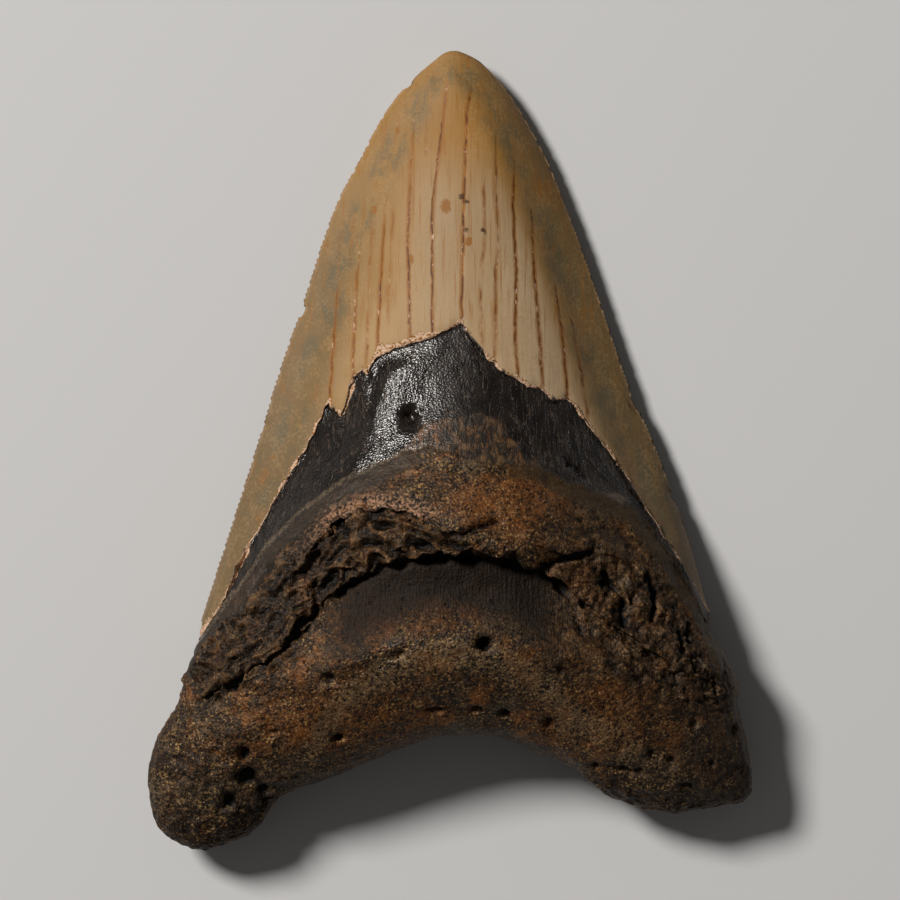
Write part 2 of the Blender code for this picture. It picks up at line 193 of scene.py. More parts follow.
def folded(spots):
    """Sharp folds between smooth troughs, from -1.5 to 0.5, at the places given."""
    return np.array([0.5 - 2 * abs(noise.noise(Vector(spot))) for spot in spots])


def facets(scale, seed):
    """Broken faces of about one millimetre over the scale, each at its own height and tilt."""
    spots = skin * scale + seed + 0.3 * grain(scale * 1.7, seed, 2)[:, None]
    heights = []
    for spot in map(Vector, spots):
        middle = noise.voronoi(spot)[1][0]
        tilt = noise.noise_vector(middle * 5.3)
        heights.append(tilt.z + 1.6 * tilt.dot(spot - middle))
    return np.array(heights)


def ridge(distance, half):
    """1 on a line, falling off over a half width to each side."""
    return np.exp(-((distance / half) ** 2))


def near(line):
    """The distance of each vertex from a drawn line, seen from above."""
    nearest = np.full(len(x), 1e9)
    for start, end in zip(line, line[1:]):
        ux, uy = end[0] - start[0], end[1] - start[1]
        t = np.clip(((x - start[0]) * ux + (y - start[1]) * uy) / (ux * ux + uy * uy), 0, 1)
        nearest = np.minimum(nearest, np.hypot(x - start[0] - t * ux, y - start[1] - t * uy))
    return nearest


# Without a seed noise_vector starts from the clock, and the broken faces would differ from run to run
noise.seed_set(4)
uneven = grain(1.1, 91.0)


def hole(at, wide, tall, depth):
    """An uneven pit: its middle, its half sizes across and along the tooth, and its depth."""
    r = np.hypot((x - at[0]) / wide, (y - at[1]) / tall) + 0.35 * uneven
    return -depth * np.exp(-(r**4)) * upper


# The root: porous, sandy bone, brown where the light catches it. A scoop broke out of it over the left
# of the crack, its right side has crumbled, and the blood vessels left holes in its lower ridge.

BAND = [
    (-36.4, -28.4), (-30.1, -20.1), (-25.9, -14.0), (-21.4, -9.2), (-15.6, -5.2), (-10.6, -2.7),
    (-6.6, -0.6), (-3.3, 0.5), (0.0, -0.6), (2.4, -1.6), (7.2, -1.7), (12.3, -1.9), (16.3, -4.3),
    (21.5, -6.2), (25.1, -7.4), (28.7, -11.0), (32.3, -15.8), (35.9, -22.2), (37.4, -26.5),
]
# Each groove: its line, half its width and its depth
GROOVES = [
    ([(28.1, -17.5), (29.3, -20.2), (28.8, -23.9)], 0.35, 1.3),
    ([(32.8, -25.6), (33.0, -28.4)], 0.40, 1.0),
    ([(34.1, -24.9), (34.3, -27.0)], 0.35, 1.0),
    ([(34.5, -29.4), (34.8, -31.4)], 0.35, 1.0),
    ([(37.5, -32.4), (37.8, -34.4)], 0.35, 0.8),
    ([(-0.4, -11.9), (2.2, -11.5), (4.4, -10.9), (6.7, -10.1)], 0.55, 1.0),
    ([(-8.6, -9.1), (-6.2, -9.6), (-3.3, -9.5), (-1.7, -10.3)], 0.40, 1.1),
    ([(-14.1, -14.4), (-12.5, -13.6), (-10.3, -13.1), (-8.0, -13.4)], 0.45, 1.1),
    ([(-19.1, -19.0), (-18.9, -22.3)], 0.35, 0.9),
    ([(-13.4, -9.1), (-15.6, -10.4), (-17.0, -12.3)], 0.30, 0.7),
    ([(-5.6, -14.0), (-3.2, -13.2), (0.0, -13.0), (2.2, -13.6)], 0.60, 1.0),
    ([(13.0, -17.0), (17.4, -15.3), (20.7, -14.1)], 0.55, 1.2),
    ([(14.5, -17.9), (17.2, -21.5), (18.6, -25.2)], 0.40, 0.8),
    ([(18.1, -25.4), (24.0, -28.6), (32.1, -31.8)], 0.30, 0.5),
    ([(22.0, -17.6), (24.4, -20.8), (24.6, -24.4)], 0.40, 1.0),
    ([(20.5, -45.0), (24.0, -45.6), (27.2, -45.8)], 0.45, 0.9),
    ([(-28.4, -45.9), (-27.0, -48.0), (-26.2, -50.2)], 0.9, 0.9),
    ([(-31.5, -50.2), (-29.0, -51.4), (-27.0, -52.6)], 0.8, 0.8),
]
# Each hole: its middle, its half sizes across and along the tooth, and its depth
HOLES = [
    ((4.7, -27.3), 0.85, 0.8, 1.6), ((-16.9, -32.3), 0.7, 0.6, 1.1), ((-6.9, -28.7), 0.5, 0.5, 0.8),
    ((13.9, -38.6), 0.9, 0.7, 1.1), ((-15.8, -40.9), 0.8, 0.5, 1.0), ((3.7, -36.6), 0.9, 0.5, 0.9),
    ((7.7, -37.4), 0.8, 0.6, 1.0), ((-2.0, -36.9), 1.3, 0.45, 0.8), ((21.6, -36.4), 0.45, 0.5, 0.8),
    ((28.5, -43.3), 0.6, 0.6, 0.9), ((-24.9, -40.0), 0.7, 0.5, 0.8), ((-29.2, -43.2), 0.7, 1.0, 1.3),
    ((-29.2, -46.8), 1.5, 1.1, 1.0), ((-31.4, -49.8), 1.1, 1.5, 0.9), ((-26.3, -48.6), 0.8, 0.6, 0.8),
    ((-37.8, -37.6), 0.8, 2.0, 0.5), ((37.3, -44.6), 0.45, 0.45, 0.6), ((33.5, -47.9), 0.9, 0.5, 0.9),
    ((19.4, -41.6), 0.6, 0.45, 0.7), ((40.6, -39.9), 0.45, 0.9, 0.7), ((34.6, -38.9), 0.5, 0.6, 0.8),
    ((15.6, -31.1), 0.4, 0.5, 0.7), ((14.1, -33.5), 0.35, 0.35, 0.6), ((31.2, -44.0), 0.6, 0.5, 0.8),
    ((24.0, -42.0), 0.5, 0.4, 0.6), ((19.0, -21.6), 0.7, 0.6, 1.2), ((26.0, -21.2), 0.6, 0.8, 1.0),
    ((21.8, -18.8), 0.6, 0.5, 1.0),
]
SCAR_FOLDS = 1.3
FLANK_FOLDS = 0.8
FLANK_CREASES = 0.45
BLOCKS = 0.45
CRUMBS = 0.30
LOBE_CRUMBS = 0.35
FALLEN_FILL = 1.1
CRACK_DEPTH = 1.1
LIP_SHIFT = 0.9

above_band = over(BAND, x, y)
above_crack = over(CRACK, x, y)
below_rim = -over(SCAR_RIM, x, y)
bone = (1 - enamel) * np.where(lingual, ramp(0.4, -0.4, above_band), 1.0)
lift += bone * (0.07 * grain(1.3, 5.0) + 0.10 * grain(0.8, 3.0) + 0.18 * grain(0.3, 7.0))

# Where the root is broken: the scar over the crack, the flank to its left and the crumbled right side
inland = ramp(-37.5, -33.5, x) * (0.15 + 0.85 * ramp(1.5, 7.0, z - outline_height))
in_scar = ramp(-0.2, 0.3, below_rim) * ramp(-0.4, 0.3, above_crack) * ramp(2, -3, x) * upper * inland
ragged = grain(0.35, 15.0)
flank = ramp(-16, -21, x) * ramp(0.8, 2.5, -above_band) * upper * inland
flank *= ramp(-2.2, -0.6, above_crack + 1.5 * ragged)
crumbled = ramp(12, 17, x) * ramp(41, 38, x) * ramp(1.5, 4, -above_band) * upper
crumbled *= ramp(-35, -29, y + 0.35 * (x - 20))
lobe_tips = ramp(-43, -50, y + 0.25 * x) * ramp(-18, -26, x) + ramp(-40, -48, y) * ramp(14, 22, x)
lobe_tips *= 0.35 + 0.65 * ramp(0.5, 4.0, z - outline_height)
torn = (in_scar + flank + crumbled).clip(0, 1)

# What lies there: folds along the rim and the crack, broken blocks, and crumbs between them
along_rim = np.column_stack([x * 0.22, below_rim * 0.62, z * 0.1]) + 0.35 * grain(0.3, 13.0)[:, None]
layers = folded(along_rim)
creases = folded(zip(x * 0.3, above_crack * 1.2, z * 0.1))
rubble = SCAR_FOLDS * in_scar * (1 - flank) * layers
rubble += (BLOCKS * torn - 0.15 * flank - 0.12 * crumbled) * facets(0.45, 11.0)
rubble += (CRUMBS * torn + 0.05 * flank) * facets(1.1, 19.0) + 0.45 * crumbled * grain(0.3, 23.0)
rubble += flank * (FLANK_FOLDS * layers + FLANK_CREASES * creases)
rubble += LOBE_CRUMBS * lobe_tips * facets(0.8, 31.0)
lift += rubble - 0.12 * torn
fallen = ridge(below_rim - 1.0, 0.8) * ramp(2, -3, x) * upper
lift += FALLEN_FILL * fallen * ramp(-0.5, 0.3, grain(0.45, 37.0))

# The crack gapes in the middle; its lip and the rim of the scar run raggedly
wander = 0.35 * grain(0.9, 43.0)
mouth = ramp(-30, -20, x) * ramp(22, 13, x)
jagged = above_crack + 0.9 * grain(0.35, 41.0) + wander
opening = ridge(jagged + 0.5, 0.55) * mouth * upper
lift -= CRACK_DEPTH * opening * ramp(-0.9, 0.3, grain(0.25, 47.0))
for line, half, depth in GROOVES:
    lift -= depth * ridge(near(line) + wander, half) * upper
for at, wide, tall, depth in HOLES:
    lift += hole(at, wide, tall, depth)
lip = ramp(-0.7, 0.1, above_crack) * ramp(2.6, 0.8, above_crack) * upper
lip *= ramp(-36, -31, x) * ramp(30, 20, x)
skin[:, 1] -= lip * LIP_SHIFT * grain(0.45, 71.0)
brow = ramp(-1.6, -0.2, below_rim) * ramp(1.5, 0.5, below_rim) * upper
brow *= ramp(4, 0, x) * ramp(-36, -30, x)
skin[:, 1] += brow * (LIP_SHIFT * grain(0.4, 77.0) + 0.35 * grain(1.3, 79.0))


# The bourlette: the dark band where the enamel has broken off, hard, shiny and finely wrinkled
# along the tooth, with a low swell on its left, one deep gouge and two small pits.

SWELL = [(-5.0, 17.0), (-6.6, 13.3), (-12.6, -1.6), (-14.5, -6.0)]
SWELL_HEIGHT = 0.5
SWELL_HALF = 3.4
GOUGE_AND_PITS = [
    ((-5.6, 4.7), 0.8, 1.4, 1.1), ((-4.9, 5.4), 0.5, 0.4, -0.7), ((-4.6, 3.4), 0.5, 0.3, 0.5),
    ((16.8, -1.9), 0.35, 0.7, 0.6), ((18.1, -2.9), 0.3, 0.7, 0.6),
]

bourlette = (1 - enamel) * (1 - bone) * upper
lift += bourlette * (0.05 * grain(1.0, 51.0, 2, (2.2, 0.4, 0.8)) + 0.05 * grain(0.5, 53.0))
swell = ridge(near(SWELL), SWELL_HALF) * ramp(-0.5, -4.0, over(ENAMEL_BREAK, x, y))
lift += SWELL_HEIGHT * swell * ramp(-2.0, 3.0, above_band) * upper
for at, wide, tall, depth in GOUGE_AND_PITS:
    lift += hole(at, wide, tall, depth)


# The enamel: a hard shell half a millimetre thick, hollowed a little along both cutting edges and
# split by fine growth cracks that run down from the tip. Its broken edge is chipped all along.

# Each growth crack from its top down: places, and how wide it has opened there, from 0 to 1
GROWTH_CRACKS = [
    [(-16.2, 24.4, 0.3), (-16.6, 16.6, 0.7), (-17.2, 7.2, 0.9)],
    [(-12.8, 31.0, 0.1), (-13.2, 25.5, 0.6), (-13.8, 13.3, 0.7)],
    [(-10.9, 33.1, 0.2), (-11.5, 26.5, 0.4), (-11.9, 13.0, 0.4)],
    [(-9.0, 36.9, 0.2), (-9.6, 28.5, 0.8), (-10.3, 15.6, 0.8)],
    [(-8.2, 34.3, 0.3), (-8.7, 24.4, 0.3), (-9.2, 16.0, 0.1)],
    [(-5.3, 48.2, 0.2), (-5.4, 43.0, 0.5), (-6.0, 30.7, 0.8), (-5.6, 16.6, 0.9)],
    [(-3.3, 47.9, 0.1), (-3.4, 43.0, 0.35), (-4.0, 38.0, 0.0), (-4.2, 20.0, 0.0)],
    [(-0.4, 52.5, 0.4), (-1.0, 47.9, 0.9), (-1.6, 43.0, 0.9), (-2.4, 37.6, 0.9), (-2.7, 32.0, 1.0),
     (-2.7, 17.1, 0.9)],
    [(3.2, 52.1, 0.3), (2.4, 47.9, 0.7), (2.3, 43.0, 0.9), (2.0, 36.4, 1.0), (1.9, 30.7, 1.0),
     (1.7, 18.9, 1.0)],
    [(4.9, 38.6, 0.4), (5.0, 29.8, 0.5), (4.5, 25.0, 0.2), (4.3, 22.4, 0.5), (4.6, 14.8, 0.5)],
    [(6.5, 45.9, 0.2), (6.6, 36.4, 0.6), (6.9, 29.0, 0.4), (6.4, 25.7, 0.7), (6.5, 21.1, 0.6),
     (6.2, 12.6, 0.5)],
    [(9.5, 42.9, 0.1), (9.0, 36.3, 0.8), (9.2, 29.8, 1.0), (9.5, 25.5, 1.0), (9.2, 16.6, 0.8),
     (9.6, 11.2, 0.7)],
    [(11.6, 35.1, 0.1), (12.0, 25.5, 0.8), (12.6, 18.9, 0.8), (13.2, 9.0, 0.7)],
    [(15.0, 24.2, 0.2), (16.2, 15.6, 0.9), (16.8, 7.5, 0.9)],
    [(17.3, 19.8, 0.1), (18.5, 12.3, 0.5), (19.6, 5.5, 0.3)],
]
SNAP_REACH = 0.16
GROWTH_CRACK_DEPTH = 0.035
MARGIN_HOLLOW = 0.28
CHIP_DEPTH = 0.16
CHIP_SHIFT = 0.28

lanes = []
strength = []
for growth_crack in GROWTH_CRACKS:
    crack_x, crack_y, crack_strength = np.array(growth_crack).T
    wobble = np.array([noise.noise(Vector((0, v, len(lanes) * 9.0))) for v in y * 0.5])
    lanes.append(np.interp(-y, -crack_y, crack_x) + 0.15 * wobble)
    strength.append(np.interp(-y, -crack_y, crack_strength) * ramp(crack_y[0] + 1.5, crack_y[0] - 1.0, y))
lanes = np.array(lanes)
strength = np.array(strength)
order = np.zeros(len(x))
for left, right in zip(lanes, lanes[1:]):
    order += np.clip((x - left) / (right - left), 0, 1)
order += np.clip((x - lanes[-1]) / 3.0, 0, 0.5) - np.clip((lanes[0] - x) / 3.0, 0, 0.5)
nearest = np.clip(np.rint(order), 0, len(lanes) - 1).astype(int)
vertices = np.arange(len(x))
off_lane = x - lanes[nearest, vertices]
opened = strength[nearest, vertices] * enamel * upper
gap = np.abs(np.gradient(lanes, axis=0)[nearest, vertices])
snapped = (np.abs(off_lane) < SNAP_REACH) & (opened > 0.15)
skin[snapped, 0] -= off_lane[snapped]
lift -= opened * GROWTH_CRACK_DEPTH * snapped

outline = measured(mesh, "crease_vert") > 0.99
left_cut, right_cut = np.flatnonzero(outline & (x < 0.5)), np.flatnonzero(outline & (x > 0.5))
left_cut, right_cut = left_cut[np.argsort(y[left_cut])], right_cut[np.argsort(y[right_cut])]
left_edge = np.interp(y, y[left_cut], x[left_cut])
right_edge = np.interp(y, y[right_cut], x[right_cut])
margin = np.minimum(x - left_edge, right_edge - x)
lift -= enamel * upper * MARGIN_HOLLOW * ridge(margin - 3.6, 1.9)
lift += enamel * 0.05 * grain(0.25, 61.0)

# The serrations are drawn out a little: each place on a cutting edge moves away from its mean line
MEAN_REACH = 8
SERRATION_GAIN = 0.25
window = np.ones(2 * MEAN_REACH + 1) / (2 * MEAN_REACH + 1)
for cut in (left_cut, right_cut):
    line = skin[cut, :2].copy()
    padded = np.pad(line, ((MEAN_REACH, MEAN_REACH), (0, 0)), mode="edge")
    smooth = np.column_stack([np.convolve(padded[:, i], window, mode="valid") for i in (0, 1)])
    standing = np.clip(line - smooth, -0.15, 0.15) * ramp(-26, -23, line[:, 1])[:, None]
    skin[cut, :2] += SERRATION_GAIN * standing

# Each nick in a cutting edge: its place, its depth and half its height
NICKS = [(-5.4, 52.3, 0.6, 0.4), (-20.7, 20.3, 0.35, 0.4), (-26.0, 3.4, 0.35, 0.4), (26.5, 5.9, 0.3, 0.5)]
for nick_x, nick_y, depth, half in NICKS:
    nick = ridge(y - nick_y, half) * ramp(1.5, 0.1, margin) * (x * nick_x > 0)
    skin[:, 0] -= np.sign(nick_x) * depth * nick

above_break = np.where(lingual, over(ENAMEL_BREAK, x, y), over(LABIAL_EDGE, x, y))
chipped = ramp(0.9, 0.2, np.abs(above_break + 0.1)) * ramp(1.0, 2.5, margin) * upper
lift -= chipped * enamel * CHIP_DEPTH * (1 + grain(0.8, 87.0))
skin[:, 0] += CHIP_SHIFT * chipped * grain(1.1, 81.0)
skin[:, 1] += CHIP_SHIFT * chipped * grain(1.1, 91.0)

normals = np.empty(len(x) * 3)
mesh.vertices.foreach_get("normal", normals)
skin += normals.reshape(-1, 3) * lift[:, None]
skin[:, 2] = np.maximum(skin[:, 2], 0.0)
mesh.vertices.foreach_set("co", (skin * MM).ravel())
mesh.update()
triangles = sum(len(face.vertices) - 2 for face in mesh.polygons)
print("tooth", len(mesh.vertices), "verts", triangles, "triangles")

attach(tooth, "root")
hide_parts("tooth")


# The look of the stone: enamel gone tan and grey, black glossy bourlette and brown sandy root. The
# skin's own measures go with the mesh, so that a colour keeps to its crack, edge or pit.


def keep(name, values):
    """Gives the mesh a measure to carry, one value for each vertex."""
    mesh.attributes.new(name, "FLOAT", "POINT").data.foreach_set("value", values)


keep("above_break", above_break)
keep("above_band", np.where(lingual, above_band, -6.0))
keep("above_crack", above_crack)
keep("margin", margin)
keep("lane", order)
keep("gap", gap)
keep("opened", opened)
keep("below_rim", np.where(lingual, below_rim, -6.0))
keep("torn", torn)
keep("rubble", rubble)
keep("hollow", np.clip(-lift - 0.15, 0, 3))
keep("upper", upper)


class Wire:
    """A value in a material, which is worked with as a number is."""

    def __init__(self, paint, socket):
        self.paint, self.socket = paint, socket

    def sum(self, operation, first, second):
        return self.paint.node("Math", {"operation": operation}, {0: first, 1: second})

    def __add__(self, other):
        return self.sum("ADD", self, other)

    def __sub__(self, other):
        return self.sum("SUBTRACT", self, other)

    def __mul__(self, other):
        return self.sum("MULTIPLY", self, other)

    def __rsub__(self, other):
        return self.sum("SUBTRACT", other, self)

    def __abs__(self):
        return self.sum("ABSOLUTE", self, 0.0)

    __radd__ = __add__
    __rmul__ = __mul__

    def ramp(self, low, high):
        """0 up to low, 1 from high on, with a smooth change between them; low can be the larger one."""
        inputs = {"Value": self, "From Min": low, "From Max": high}
        return self.paint.node("MapRange", {"interpolation_type": "SMOOTHSTEP"}, inputs)


class Paint:
    """A material being mixed: it lays nodes and joins them."""

    def __init__(self, name):
        self.material = bpy.data.materials.new(name)
        self.material.use_nodes = True
        self.nodes = self.material.node_tree.nodes
        self.surface = self.nodes["Principled BSDF"]
        metres = self.node("TexCoord", output="Object")
        self.place = self.node("VectorMath", {"operation": "SCALE"}, {0: metres, "Scale": 1 / MM})

    def feed(self, socket, value):
        if isinstance(value, Wire):
            self.material.node_tree.links.new(value.socket, socket)
        elif socket.type == "RGBA":
            socket.default_value = (*value, 1)
        else:
            socket.default_value = value

    def node(self, kind, settings={}, inputs={}, output=0):
        node = self.nodes.new("ShaderNode" + kind)
        for name, value in settings.items():
            setattr(node, name, value)
        for name, value in inputs.items():
            self.feed(node.inputs[name], value)
        return Wire(self, node.outputs[output])

    def measure(self, name):
        return self.node("Attribute", {"attribute_name": name}, output="Fac")

    def mix(self, factor, first, second):
        settings = {"data_type": "RGBA", "clamp_factor": True}
        return self.node("Mix", settings, {0: factor, 6: first, 7: second}, 2)

    def stretched(self, stretch):
        return self.node("VectorMath", {"operation": "MULTIPLY"}, {0: self.place, 1: stretch})

    def noise(self, scale, stretch=(1, 1, 1), detail=3.0, roughness=0.55, distortion=0.0):
        inputs = {"Vector": self.stretched(stretch), "Scale": scale, "Detail": detail}
        inputs.update({"Roughness": roughness, "Distortion": distortion})
        return self.node("TexNoise", {}, inputs)

    def cells(self, scale, stretch=(1, 1, 1)):
        """Scales with one over the scale between them: the distance from each one's middle."""
        return self.node("TexVoronoi", {}, {"Vector": self.stretched(stretch), "Scale": scale}, "Distance")

    def cell_tones(self, scale):
        """Grains of that kind, each with a tone of its own from 0 to 1."""
        tint = self.node("TexVoronoi", {}, {"Vector": self.place, "Scale": scale}, "Color")
        return self.node("SeparateColor", {}, {0: tint}, "Red")

    def from_spot(self, spot, stretch=(1, 1, 0)):
        """The distance in millimetres from a spot, seen from above."""
        ends = {0: self.stretched(stretch), 1: (spot[0] * stretch[0], spot[1] * stretch[1], 0)}
        return self.node("VectorMath", {"operation": "DISTANCE"}, ends, "Value")

    def bump(self, height, distance):
        return self.node("Bump", {}, {"Height": height, "Distance": distance * MM})


stone = Paint("fossil")
place_x = stone.node("SeparateXYZ", {}, {0: stone.place}, "X")
place_y = stone.node("SeparateXYZ", {}, {0: stone.place}, "Y")
fine = stone.noise(2.4, detail=3)
cloud = stone.noise(0.11, (1, 0.7, 1))
patchy = stone.noise(0.35, detail=4)
shell = stone.measure("enamel")
to_break = stone.measure("above_break")
to_band = stone.measure("above_band")
to_crack = stone.measure("above_crack")
to_edge = stone.measure("margin")
hollow = stone.measure("hollow")
torn_mask = stone.measure("torn")
shell_mask = (shell + (fine - 0.5) * 0.3).ramp(0.12, 0.3)

# Enamel: tan, browner at the tip, greyer in the middle, mottled blue grey along both cutting edges, with
# rusty streaks and a stained halo along each growth crack, and pale where it has chipped
TAN = (0.285, 0.160, 0.052)
PALE_TAN = (0.340, 0.212, 0.092)
TIP_TAN = (0.300, 0.142, 0.023)
EDGE_OLIVE = (0.205, 0.128, 0.048)
EDGE_GREY = (0.085, 0.078, 0.044)
LOW_BROWN = (0.145, 0.092, 0.042)
EDGE_PAINTED_SHADE = (0.070, 0.046, 0.018)
MIDDLE = (0.345, 0.243, 0.140)
MIDDLE_RIGHT_PAINTED_LIGHT = (0.480, 0.350, 0.215)
RUST = (0.165, 0.052, 0.006)
ORANGE = (0.240, 0.088, 0.004)
CRACK_BROWN = (0.048, 0.017, 0.0035)
CHIPPED = (0.56, 0.38, 0.26)
RUSTY_SPOTS = [
    ((-0.6, 34.8), 0.9), ((2.6, 29.7), 0.6), ((-10.8, 34.4), 0.5), ((-7.5, 45.9), 0.5), ((-5.7, 27.2), 0.6),
]
DARK_SPOTS = [((1.7, 36.1), 0.45), ((2.4, 35.4), 0.5), ((2.3, 31.4), 0.5), ((4.7, 31.4), 0.35)]

enamel_colour = stone.mix(cloud.ramp(0.4, 0.62), TAN, PALE_TAN)
enamel_colour = stone.mix(place_y.ramp(14, 46) * 0.85, enamel_colour, TIP_TAN)
right_half = place_x.ramp(1, 7)
wide_edge = to_edge.ramp(13.0, 2.0)
by_edge = wide_edge + right_half * (to_edge.ramp(9.0, 3.0) - wide_edge)
enamel_colour = stone.mix(by_edge * (0.8 - place_y.ramp(32, 42) * 0.3), enamel_colour, EDGE_OLIVE)
by_root = place_y.ramp(18, -8) * to_edge.ramp(14.0, 5.0) * (0.8 - right_half * to_edge.ramp(5.0, 9.0) * 0.4)
enamel_colour = stone.mix(by_root, enamel_colour, LOW_BROWN)
# Painted shade: darker along the right cutting edge, and along the left one lower down
enamel_colour = stone.mix(right_half * to_edge.ramp(5.5, 2.0) * 0.4, enamel_colour, EDGE_PAINTED_SHADE)
left_margin = place_x.ramp(-12, -17) * to_edge.ramp(10.0, 5.0) * place_y.ramp(34, 25)
enamel_colour = stone.mix(left_margin * 0.33, enamel_colour, EDGE_PAINTED_SHADE)
middle = place_x.ramp(-9, -2) * to_edge.ramp(6.0, 9.5) * place_y.ramp(46, 34)
# Painted light: towards the right the middle is painted paler, brightening the side the lamp leaves darker
middle_colour_and_painted_light = stone.mix(place_x.ramp(2, 10) * place_y.ramp(44, 24), MIDDLE, MIDDLE_RIGHT_PAINTED_LIGHT)
enamel_colour = stone.mix(middle * (0.9 - cloud.ramp(0.4, 0.6) * 0.2), enamel_colour, middle_colour_and_painted_light)

streaks = stone.noise(1.0, (2.1, 0.045, 0.6), detail=4, distortion=0.2)
enamel_colour = stone.mix(streaks.ramp(0.53, 0.68) * place_y.ramp(8, 24) * 0.55, enamel_colour, ORANGE)
mottle = stone.noise(0.30, (1, 0.6, 1), detail=5, roughness=0.6)
inner_strip = to_edge.ramp(8.0, 4.5) * to_edge.ramp(1.2, 2.8)
enamel_colour = stone.mix(inner_strip * mottle.ramp(0.44, 0.62) * 0.6, enamel_colour, EDGE_GREY)
enamel_colour = stone.mix(to_edge.ramp(9.0, 4.0) * mottle.ramp(0.42, 0.32) * 0.42, enamel_colour, ORANGE)
lower_lines = stone.noise(1.0, (2.6, 0.16, 0.6), detail=3, distortion=0.3).ramp(0.55, 0.70)
enamel_colour = stone.mix(lower_lines * place_y.ramp(16, 4) * 0.5, enamel_colour, EDGE_GREY)
enamel_colour = stone.mix((fine + (patchy - 0.5) * 0.6).ramp(0.45, 0.7) * 0.35, enamel_colour, PALE_TAN)
for spot, size in RUSTY_SPOTS:
    rusty = (stone.from_spot(spot, (1, 0.7, 0)) + (fine - 0.5) * 1.2).ramp(size * 1.1, size * 0.5)
    enamel_colour = stone.mix(rusty * 0.85, enamel_colour, ORANGE)

lane = stone.measure("lane")
beside = abs(stone.node("Math", {"operation": "FRACT"}, {0: lane + 0.5}) - 0.5) * stone.measure("gap")
beside = beside + (stone.noise(1.5, (1, 0.4, 1)) - 0.5) * 0.16
opened_mask = stone.measure("opened")
broken = stone.noise(0.8, (1, 0.35, 1), detail=3)
rust_halo = beside.ramp(0.48, 0.12) * (opened_mask + (broken - 0.5) * 1.4).ramp(0.1, 0.8)
enamel_colour = stone.mix(rust_halo * 0.9, enamel_colour, stone.mix(beside.ramp(0.20, 0.08), ORANGE, RUST))
dark_line = beside.ramp(0.10, 0.04) * (opened_mask + (broken - 0.5) * 2.2).ramp(0.55, 1.0)
enamel_colour = stone.mix(dark_line * 0.9, enamel_colour, CRACK_BROWN)
# Beside the growth cracks: pale flakes of enamel and painted glints
flakes_and_glints = stone.noise(2.2, (1, 0.6, 1), detail=3).ramp(0.54, 0.62) * beside.ramp(0.30, 0.16) * opened_mask
enamel_colour = stone.mix(flakes_and_glints * (patchy + 0.2).ramp(0.65, 0.85), enamel_colour, CHIPPED)
for spot, size in DARK_SPOTS:
    dark = (stone.from_spot(spot) + (fine - 0.5) * 0.9 + (broken - 0.5) * 0.8).ramp(size, size * 0.4)
    enamel_colour = stone.mix(dark * 0.85, enamel_colour, CRACK_BROWN)

crumbly = place_x.ramp(-13, -9) * place_x.ramp(-0.5, -4) * 0.5 + place_x.ramp(-15, -18) * 0.2
chip = (to_break + (fine - 0.5) + (patchy - 0.5) * 1.4 - crumbly).ramp(0.36, 0.20)
crumbs = stone.noise(3.0, detail=2)
chipped_colour = stone.mix(crumbs.ramp(0.38, 0.52), ORANGE, CHIPPED)
enamel_colour = stone.mix(chip, enamel_colour, chipped_colour)
worn_edge = (to_edge + (fine - 0.5) * 0.8).ramp(0.35, 0.1)
enamel_colour = stone.mix(worn_edge * 0.15, enamel_colour, CHIPPED)

# Bourlette: near black and shiny, cracked into vertical threads, with a brown hump where it is worn
BLACK = (0.0060, 0.0044, 0.0036)
BLACK_WORN = (0.016, 0.0115, 0.0085)
SCRATCH = (0.085, 0.060, 0.044)
ARC_GREY = (0.150, 0.108, 0.068)
HUMP = (0.056, 0.030, 0.012)
HUMP_RUST = (0.18, 0.066, 0.014)
HUMP_PALE = (0.14, 0.083, 0.042)
HUMP_AT = (1.8, 6.0)
HUMP_CURVE = 0.07
GREY_PATCH_AT = (23.1, -7.2)

threads = stone.noise(1.0, (1.3, 0.09, 0.6), detail=3, distortion=0.2)
thread_line = abs(threads - 0.5).ramp(0.030, 0.010)
thread_edge = abs(threads - 0.545).ramp(0.020, 0.005) * broken.ramp(0.40, 0.55)
bourlette_colour = stone.mix(patchy.ramp(0.35, 0.65), BLACK, BLACK_WORN)
beside_hump = place_x - HUMP_AT[0]
hump_top = HUMP_AT[1] - beside_hump * beside_hump * HUMP_CURVE
hump_mask = (hump_top - place_y + (patchy - 0.5) * 5.0).ramp(0.0, 1.6)
blotch = stone.noise(0.7, (1, 0.8, 1), detail=4, roughness=0.6)
hump_colour = stone.mix(blotch.ramp(0.56, 0.42), HUMP, BLACK_WORN)
hump_colour = stone.mix(blotch.ramp(0.50, 0.64) * 0.6, hump_colour, HUMP_PALE)
hump_colour = stone.mix(stone.noise(1.0, (1.8, 0.25, 1)).ramp(0.55, 0.70) * 0.8, hump_colour, HUMP_RUST)
bourlette_colour = stone.mix(hump_mask, bourlette_colour, hump_colour)
bourlette_colour = stone.mix(thread_edge * 0.8, bourlette_colour, SCRATCH)
bourlette_colour = stone.mix(thread_line * 0.85, bourlette_colour, BLACK)
grey_patch = (stone.from_spot(GREY_PATCH_AT, (0.6, 1.0, 0)) + (patchy - 0.5) * 0.8).ramp(1.3, 0.9)
bourlette_colour = stone.mix(grey_patch * 0.8, bourlette_colour, SCRATCH)
arc = (abs(to_band - 0.3) + (patchy - 0.5) * 1.4).ramp(0.55, 0.1) * place_x.ramp(2, -4)
bourlette_colour = stone.mix(arc * fine.ramp(0.3, 0.6) * 0.7, bourlette_colour, ARC_GREY)
